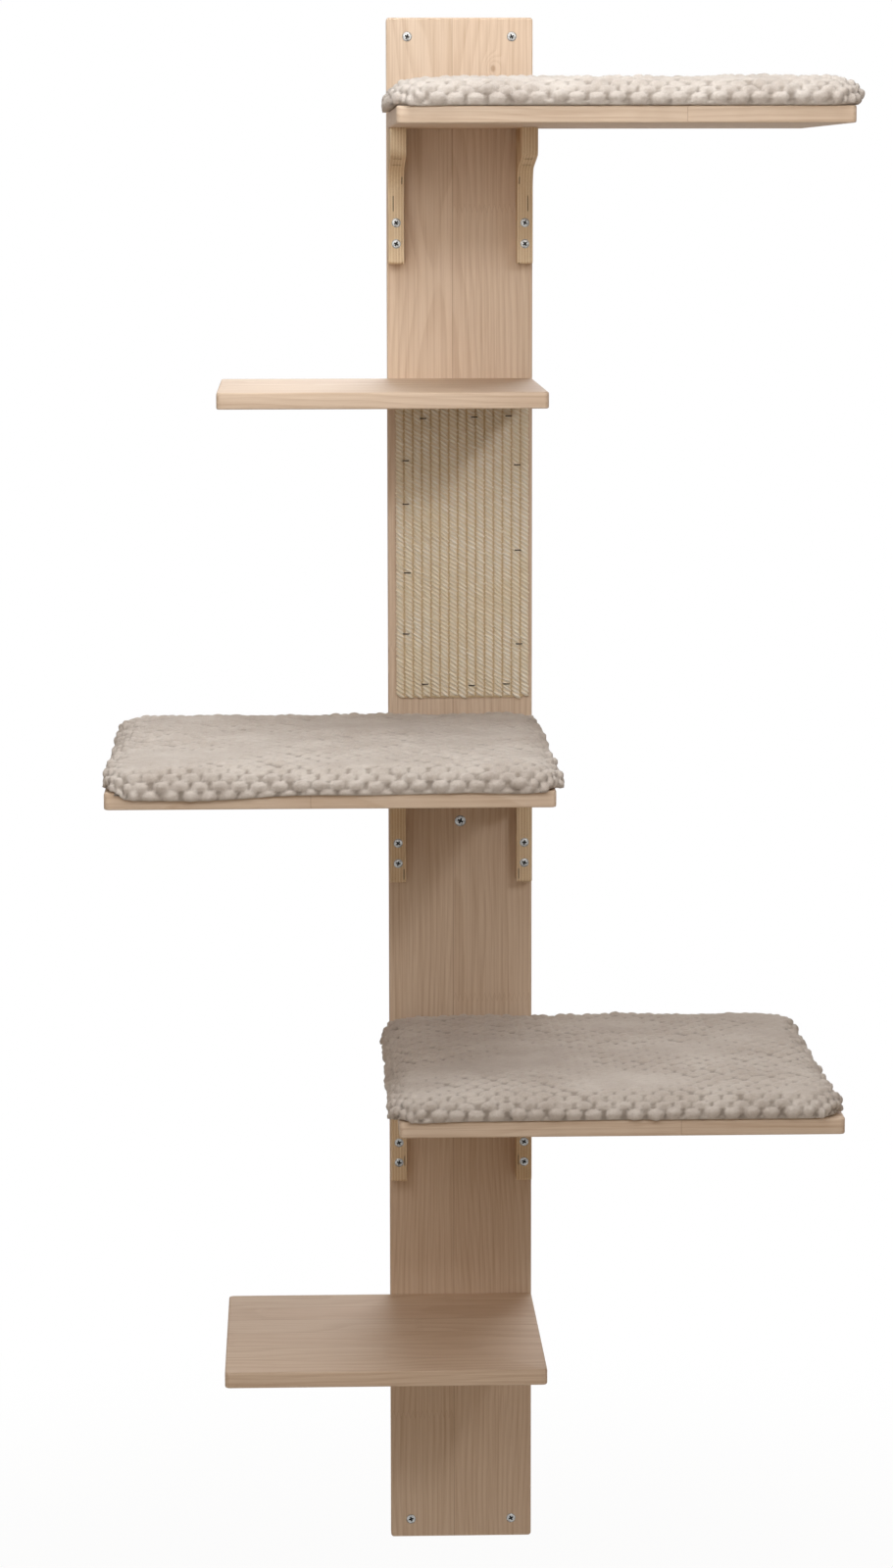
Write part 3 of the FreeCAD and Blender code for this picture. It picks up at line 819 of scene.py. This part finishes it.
# %% Mat with its strands
mat_low, mat_high = box_mm("sisal_mat")
mat_width, mat_height = mat_high.x - mat_low.x, mat_high.z - mat_low.z
mat_x, mat_z = (mat_low.x + mat_high.x) / 2, (mat_low.z + mat_high.z) / 2
MAT_CORNER = 8
RIB_PITCH, STRAND_PITCH = 8.6, 4.2
STRAND_TILT = 34
# How far strands, cores and backing stand in front of the panel, and how thick the last two are.
STRAND_OUT, CORE_OUT, BACKING_OUT = 3.1, 2.6, 1.3
SHEET = 2.2
CORE_SHARE = 0.78


def outside_corner(x, z):
    """How far a point lies outside the mat's rounded corner, in millimetres."""
    side = max(mat_low.x + MAT_CORNER - x, x - mat_high.x + MAT_CORNER, 0)
    end = max(mat_low.z + MAT_CORNER - z, z - mat_high.z + MAT_CORNER, 0)
    return math.hypot(side, end) - MAT_CORNER


ribs = int(mat_width / RIB_PITCH)
rib_width = mat_width / ribs
rib_places = [mat_low.x + (rib + 0.5) * rib_width for rib in range(ribs)]
strands = []
for x in rib_places:
    z = mat_high.z - chance.uniform(1.5, 3.5)
    while z > mat_low.z + 1.5:
        if outside_corner(x, z) < -1.5:
            tilt = math.radians(chance.gauss(STRAND_TILT, 4))
            size = Vector((chance.uniform(4.7, 5.2), chance.uniform(2.1, 2.5),
                           chance.uniform(1.7, 1.95)))
            spot = Vector((x + chance.gauss(0, 0.25), PANEL_FRONT - STRAND_OUT, z))
            strands.append(
                Matrix.Translation(spot * MM) @ Matrix.Rotation(tilt, 4, "Y")
                @ Matrix.Diagonal((*(size * MM), 1))
            )
        z -= STRAND_PITCH * chance.uniform(0.92, 1.08)

grain = bmesh.new()
bmesh.ops.create_uvsphere(grain, u_segments=6, v_segments=5, radius=1)
bmesh.ops.rotate(grain, cent=(0, 0, 0), matrix=Matrix.Rotation(math.radians(90), 3, "Y"),
                 verts=grain.verts)
mat_shape = copies(grain, strands)
for x in rib_places:
    short = max((z for z in range(12) if outside_corner(x, mat_high.z - z) > -2), default=0)
    add_box(mat_shape, Vector((rib_width * CORE_SHARE, SHEET, mat_height - 4 - 2 * short)) * MM,
            Vector((x, PANEL_FRONT - CORE_OUT, mat_z)) * MM)

backing = bmesh.new()
add_box(backing, Vector((mat_width - 2, SHEET, mat_height - 2)) * MM,
        Vector((mat_x, PANEL_FRONT - BACKING_OUT, mat_z)) * MM)
bevel(backing, edges_along(backing, 1), MAT_CORNER, 6)
backing_mesh = bpy.data.meshes.new("backing")
backing.to_mesh(backing_mesh)
backing.free()
mat_shape.from_mesh(backing_mesh)
bpy.data.meshes.remove(backing_mesh)
mat = settle("sisal_mat_woven", mat_shape, sisal, ["sisal_mat"])
print("strands:", len(strands), "faces:", len(mat.data.polygons))


# %% [markdown]
# Staples are bent wire: a leg, a crown and a leg. A small disc is pushed along each run and spun
# round each bend. Where they sit round the rim is given as shares of the mat's width and height.

# %% Staples
STAPLES = (
    (-0.29, 0.06), (0.09, 0.056), (0.345, 0.052),
    (-0.42, 0.2), (-0.42, 0.345), (-0.41, 0.575), (-0.42, 0.78),
    (0.41, 0.215), (0.415, 0.5), (0.425, 0.815),
    (-0.28, 0.95), (0.07, 0.955), (0.33, 0.95),
)
steel = Finish("staple_steel", "staple_wire")
dull = steel.noise(steel.place, scale=0.9, detail=3.0)
steel.done(steel.blend(dull, linear(96, 90, 82), linear(60, 55, 50)),
           dull.rise(0.3, 0.7, 0.32, 0.55), Metallic=1.0)

WIRE, CROWN, BEND, LEG = 0.55, 6.5, 0.9, 11
staple = bmesh.new()
bmesh.ops.create_circle(staple, cap_ends=True, radius=WIRE * MM, segments=8)
bmesh.ops.translate(staple, vec=Vector((WIRE - CROWN / 2, 0, -LEG)) * MM, verts=staple.verts)
tip = push(staple, list(staple.faces), Vector((0, 0, LEG - BEND)) * MM)
for centre_x in (WIRE + BEND - CROWN / 2, CROWN / 2 - WIRE - BEND):
    bent = bmesh.ops.spin(
        staple, geom=tip, cent=Vector((centre_x, 0, -BEND)) * MM, axis=(0, 1, 0),
        dvec=(0, 0, 0), angle=math.radians(90), steps=4,
    )["geom_last"]
    tip = [part for part in bent if isinstance(part, bmesh.types.BMFace)]
    way = (CROWN - 2 * WIRE - 2 * BEND, 0, 0) if centre_x < 0 else (0, 0, BEND - LEG)
    tip = push(staple, tip, Vector(way) * MM)
bmesh.ops.recalc_face_normals(staple, faces=staple.faces)
staple_places = [
    standing(mat_x + across * mat_width, mat_low.y - WIRE, mat_high.z - down * mat_height,
             OUT_OF_WALL)
    for across, down in STAPLES
]
piece = settle("staples", copies(staple, staple_places), steel, ["sisal_staples"])
print("staples:", len(staple_places), "faces:", len(piece.data.polygons))


# %% [markdown]
# ## Plush cushions
# Each cushion is a thin foam pad in a cover of thick bubble plush. It is made in three steps, as
# the real one is: a rounded pad is blown up as cloth so that it gets full edges and a soft crown,
# the pad is laid on its board so that its underside is flat and its free rim hangs over, and then
# the bubbles of the pile are raised in staggered rows, round and full where the cover bends over
# an edge, and brushed almost flat in patches on top.

# %% Plush shader
plush = Finish("bubble_plush", "plush")
hollow_shade_mark = plush.add("Attribute", {"attribute_name": "pile"}, output="Fac")
stroke_x, stroke_y = plush.split(plush.turned_about("Z", -25), "XY")
brushed = plush.noise(plush.at(stroke_x * 0.12, stroke_y * 0.5, plush.z * 0.5), detail=3.0)
tuft = plush.noise(plush.place, scale=0.85, detail=3.0, roughness=0.65)
nap = plush.noise(plush.place, scale=0.022, detail=2.0)
plush_colour = plush.blend(nap.rise(0.3, 0.7), linear(224, 216, 208), linear(209, 199, 190))
plush_colour = plush.blend(brushed.rise(0.4, 0.75) * 0.4, plush_colour, linear(193, 181, 170))
plush_colour = plush.blend(tuft.rise(0.45, 0.75) * 0.35, plush_colour, linear(242, 237, 232))
# Painted shade in the hollows between the bubbles, partly the darker ground where the pile parts.
plush_colour = plush.blend(hollow_shade_mark.rise(0.1, 0.75, 0.7, 0.0), plush_colour,
                           linear(148, 135, 123))
plush.done(plush_colour, 0.95, height=tuft * 0.7 + brushed * 0.3, depth=1.4,
           Sheen_Weight=0.35, Sheen_Roughness=0.5, Specular_IOR_Level=0.1)


# %% Pad before the pile
PAD_INSET, PAD_LIFT = 4, 1
PAD_CORNER, PAD_ROUND = 30, 7
VOXEL = 4.6
PRESSURE = 4
SWELL_CAP = 5
BLOW_FRAMES = 20


def pad_blank(name, node, body):
    """A rounded pad, a little smaller than its CAD solid, in even small faces."""
    low, high = box_mm(node)
    low = low + Vector((PAD_INSET, PAD_INSET, PAD_LIFT))
    high = high - Vector((PAD_INSET, PAD_INSET, PAD_INSET))
    shape = bmesh.new()
    add_box(shape, (high - low) * MM, (low + high) / 2 * MM)
    bevel(shape, edges_along(shape, 2), PAD_CORNER, 8)
    bevel(shape, rims(shape), PAD_ROUND, 4)
    pad = settle(name, shape, plush, [node], body)
    even = pad.modifiers.new("even", "REMESH")
    even.mode = "VOXEL"
    even.voxel_size = VOXEL * MM
    apply_modifiers(pad)
    return pad


def points_of(mesh):
    """The mesh's points as an array of rows, in millimetres."""
    flat = np.empty(len(mesh.vertices) * 3)
    mesh.vertices.foreach_get("co", flat)
    return flat.reshape(-1, 3) / MM


def move_points(mesh, points):
    """Puts the mesh's points where the rows say."""
    mesh.vertices.foreach_set("co", (points * MM).ravel())
    mesh.update()


def blow_up(pad):
    """Lets cloth pressure fill the pad, with a cap on how far a point may go."""
    start = points_of(pad.data)
    cloth = pad.modifiers.new("cloth", "CLOTH")
    cloth.settings.use_pressure = True
    cloth.settings.uniform_pressure_force = PRESSURE
    cloth.settings.effector_weights.gravity = 0
    for frame_number in range(1, BLOW_FRAMES + 1):
        scene.frame_set(frame_number)
    apply_modifiers(pad)
    scene.frame_set(1)
    way = points_of(pad.data) - start
    length = np.linalg.norm(way, axis=1, keepdims=True)
    move_points(pad.data, start + way * np.minimum(1, SWELL_CAP / np.maximum(length, 1e-6)))
    print(pad.name, "swelled by up to", round(float(length.max()), 1), "mm")


# %% [markdown]
# The cushion's underside rests on the fastener strips near its middle and on bare wood nearer the
# rim. What is past the board's edge hangs lower, more at one end than at the other, and may not
# cut into the board. Slow waves keep the rim and the crown from looking ruled.

# %% Laying the pad
STRIP_RISE, REST = 2.9, 0.4
CROWN_WAVES, CROWN_WAVE = ((37, 51), (61, 33), (23, 27)), 1.5
RIM_WAVES, RIM_WAVE, RIM_REACH = ((19, 23), (31, 17), (71, 67)), 2.4, 30
# Distances in from the rim: where the pad lies flat, where it has climbed onto the strips, where
# the hanging rim stops pulling the crown down, and heights of the crown at three of them.
FLAT_TO, STRIP_FROM, PULL_TO = 34, 46, 40
CROWN_AT, CROWN_RISE = (0, 60, 190), (-1.5, 0.5, 2.5)
END_REACH, EDGE_FADE = 60, 4


def slow_wave(points, lengths, phases):
    """A smooth uneven value of about -1 to 1 over a surface."""
    total = 0
    for (x_length, y_length), phase in zip(lengths, phases):
        total = total + np.sin(points[:, 0] / x_length + phase) * np.cos(
            points[:, 1] / y_length + phase * 1.7)
    return total / len(lengths)


def clear_of(points, board):
    """Lifts the points that are over or in a board until they rest on it."""
    low, high = box_mm(board)
    over = ((points[:, 0] > low.x - REST) & (points[:, 0] < high.x + REST)
            & (points[:, 1] > low.y - REST))
    points[:, 2] = np.where(over, np.maximum(points[:, 2], high.z + REST), points[:, 2])
    return points


def lay(pad, tier, hang, spread, phases):
    """Seats the pad on its board and lets its rim hang, by a depth for each end."""
    points = points_of(pad.data)
    board_low, board_high = box_mm(f"shelf_{tier}")
    full_low, full_high = box_mm(f"cushion_{tier}")
    base = full_low.z + PAD_LIFT
    low, high = points.min(axis=0), points.max(axis=0)
    up = np.clip((points[:, 2] - base) / (high[2] - base), 0, 1) ** 1.3
    points[:, 0] = np.interp(points[:, 0], (low[0], high[0]),
                             (full_low.x - spread[0], full_high.x + spread[1]))
    points[:, 1] = np.interp(points[:, 1], (low[1], high[1]), (full_low.y - spread[2], full_high.y))
    low, high = points.min(axis=0), points.max(axis=0)
    to_rim = np.minimum.reduce([
        points[:, 0] - low[0], high[0] - points[:, 0],
        points[:, 1] - low[1], high[1] - points[:, 1],
    ])
    past = np.maximum.reduce([
        board_low.x - points[:, 0], points[:, 0] - board_high.x, board_low.y - points[:, 1],
        to_rim * 0,
    ])
    wave = slow_wave(points, CROWN_WAVES, phases)
    ends = (low[0], low[0] + END_REACH, high[0])
    hanging = np.interp(points[:, 0], ends, hang) * (1 + 0.5 * wave)
    rest = np.interp(to_rim, (0, FLAT_TO, STRIP_FROM), (REST, REST, STRIP_RISE)) + board_high.z
    rest = rest - hanging * np.clip(past / EDGE_FADE, 0, 1)
    crown = high[2] + CROWN_WAVE * wave + np.interp(to_rim, CROWN_AT, CROWN_RISE)
    crown = crown - hanging * 0.25 * np.clip(1 - to_rim / PULL_TO, 0, 1)
    points[:, 2] = rest + (crown - rest) * up
    outward = RIM_WAVE * slow_wave(points, RIM_WAVES, phases[::-1])
    away = points[:, :2] - (low + high)[:2] / 2
    away = away / np.maximum(np.linalg.norm(away, axis=1, keepdims=True), 1e-6)
    points[:, :2] += away * (outward * np.clip(1 - to_rim / RIM_REACH, 0, 1))[:, None]
    move_points(pad.data, clear_of(points, f"shelf_{tier}"))


# %% [markdown]
# The rows of bubbles are laid out on the cover as it lies flat: on the sides, the way down counts
# as way outwards, so the rows run on over the edge. Each point looks for the nearest bubble of
# the three rows round it, and is pushed out by a dome that is highest in the bubble's middle.
# Use has flattened the pile in patches on top, and there the domes are low.

# %% Raising bubbles
BUBBLE_WIDE, BUBBLE_DEEP = 17.5, 11.2
BUBBLE_HIGH, BUBBLE_SINK = 7.0, 0.5
FIRST_ROW = 17
JITTER_WIDE, JITTER_DEEP = 2.6, 2.2
WORN_WAVES = ((29, 41), (47, 21), (83, 59))


def hash_of(first, second):
    """A value of 0 to 1 for each pair of whole numbers."""
    return np.modf(np.abs(np.sin(first * 12.9898 + second * 78.233) * 43758.5453))[0]


def raise_bubbles(pad, board, phases):
    """Moves the points of the pad out along their normals in staggered domes."""
    mesh = pad.data
    points = points_of(mesh)
    normals = np.empty(len(points) * 3)
    mesh.vertex_normals.foreach_get("vector", normals)
    normals = normals.reshape(-1, 3)
    crown = np.percentile(points[:, 2], 90)
    down = np.clip(crown - points[:, 2], 0, None)
    level = np.linalg.norm(normals[:, :2], axis=1)
    outward = normals[:, :2] / np.maximum(level, 1e-6)[:, None]
    flat = points[:, :2] + outward * (down * np.clip(level * 2.5, 0, 1))[:, None]
    flat[:, 1] -= points[:, 1].min() - FIRST_ROW
    row = np.round(flat[:, 1] / BUBBLE_DEEP)
    nearest = np.full(len(points), 9.0)
    full = np.zeros(len(points))
    for step in (-1, 0, 1):
        line = row + step
        shift = np.mod(line, 2) * 0.5
        place = np.round(flat[:, 0] / BUBBLE_WIDE - shift)
        uneven = hash_of(line, place) - 0.5
        other = hash_of(place, line + 7) - 0.5
        across = flat[:, 0] - (place + shift) * BUBBLE_WIDE - uneven * JITTER_WIDE
        deep = flat[:, 1] - line * BUBBLE_DEEP - other * JITTER_DEEP
        far = np.hypot(across / (BUBBLE_WIDE * 0.52), deep / (BUBBLE_DEEP * 0.72))
        closer = far < nearest
        nearest = np.where(closer, far, nearest)
        full = np.where(closer, 0.9 + 0.6 * uneven, full)
    dome = 1 - np.clip(nearest, 0, 1) ** 2
    on_side = np.clip(level * 1.8 - 0.2, 0, 1)
    patchy = 0.62 + 1.1 * slow_wave(points, WORN_WAVES, phases)
    strength = np.maximum(on_side, 0.12 + 0.6 * np.clip(patchy, 0, 1))
    under = np.clip((normals[:, 2] + 0.9) / 0.4, 0, 1)
    tuft = (hash_of(np.arange(len(points)), np.ones(len(points))) - 0.5) * 0.5
    amount = (BUBBLE_HIGH * (dome * full - BUBBLE_SINK) * strength + tuft) * under
    move_points(mesh, clear_of(points + normals * amount[:, None], board))
    # The hollows between domes are marked for the shader's painted shade, deepest where the bubbles
    # stand high.
    hollow_shade_attribute = mesh.attributes.new("pile", "FLOAT", "POINT")
    painted_hollow_shade = (1 - dome) ** 1.5 * np.clip(strength * 1.8, 0, 1)
    hollow_shade_attribute.data.foreach_set("value", (1 - painted_hollow_shade).astype(np.float32))
    for polygon in mesh.polygons:
        polygon.use_smooth = True


def subdivide(pad):
    """Splits every face of the pad in four, so that the bubbles come out round."""
    finer = pad.modifiers.new("finer", "SUBSURF")
    finer.levels = finer.render_levels = 1
    apply_modifiers(pad)


# Each cushion: how far its rim hangs at the left end, near it and at the right end, how far it
# reaches past its solid at the left, right and front, and the phases of its waves.
CUSHIONS = (
    ("top", (4.0, 0.5, 1.0), (-1, 1, 2), (0.4, 2.1, 4.0)),
    ("middle", (8.0, 8.0, 2.0), (-5, 0, 3), (1.9, 0.3, 5.2)),
    ("lower", (4.0, 1.5, 0.5), (2, -9, 1), (3.3, 4.6, 0.9)),
)
for tier, hang, spread, phases in CUSHIONS:
    pad = pad_blank(f"cushion_{tier}_plush", f"cushion_{tier}", f"{tier}_cushion")
    blow_up(pad)
    lay(pad, tier, hang, spread, phases)
    subdivide(pad)
    raise_bubbles(pad, f"shelf_{tier}", phases)
    print(pad.name, len(pad.data.polygons), "faces")


# %% [markdown]
# ## Fastener strips
# Hook tape on the boards and loop tape under the cushions keep the cushions in place. They only
# show when a cushion is lifted. The CAD boxes are right for woven tape, so they keep their shape
# and only get a finish: rows of hooks or a tangle of loops over a plain weave.

# %% Tape finishes
def tape(name, slot, pale, dark, rows):
    """Woven tape with a pile of hooks in rows, or of loops in a tangle."""
    finish = Finish(name, slot)
    weave = finish.noise(finish.place, scale=0.9, detail=2.0)
    if rows:
        stubs = finish.x.zigzag(0.8).rise(0.2, 0.6) * finish.y.zigzag(0.7).rise(0.2, 0.5)
    else:
        stubs = finish.noise(finish.place, scale=1.6, detail=4.0, roughness=0.7)
    colour = finish.blend(stubs * 0.7 + weave * 0.2, dark, pale)
    return finish.done(colour, 0.7, height=stubs, depth=0.5, Sheen_Weight=0.2)


hook_tape = tape("hook_tape_woven", "hook_tape", linear(226, 222, 214), linear(168, 162, 152),
                 rows=True)
loop_tape = tape("loop_tape_woven", "loop_tape", linear(232, 228, 221), linear(186, 180, 171),
                 rows=False)
for name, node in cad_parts.items():
    for word, finish in (("hook_strips", hook_tape), ("loop_strips", loop_tape)):
        if name.startswith(word):
            node.data.materials.clear()
            node.data.materials.append(finish.material)
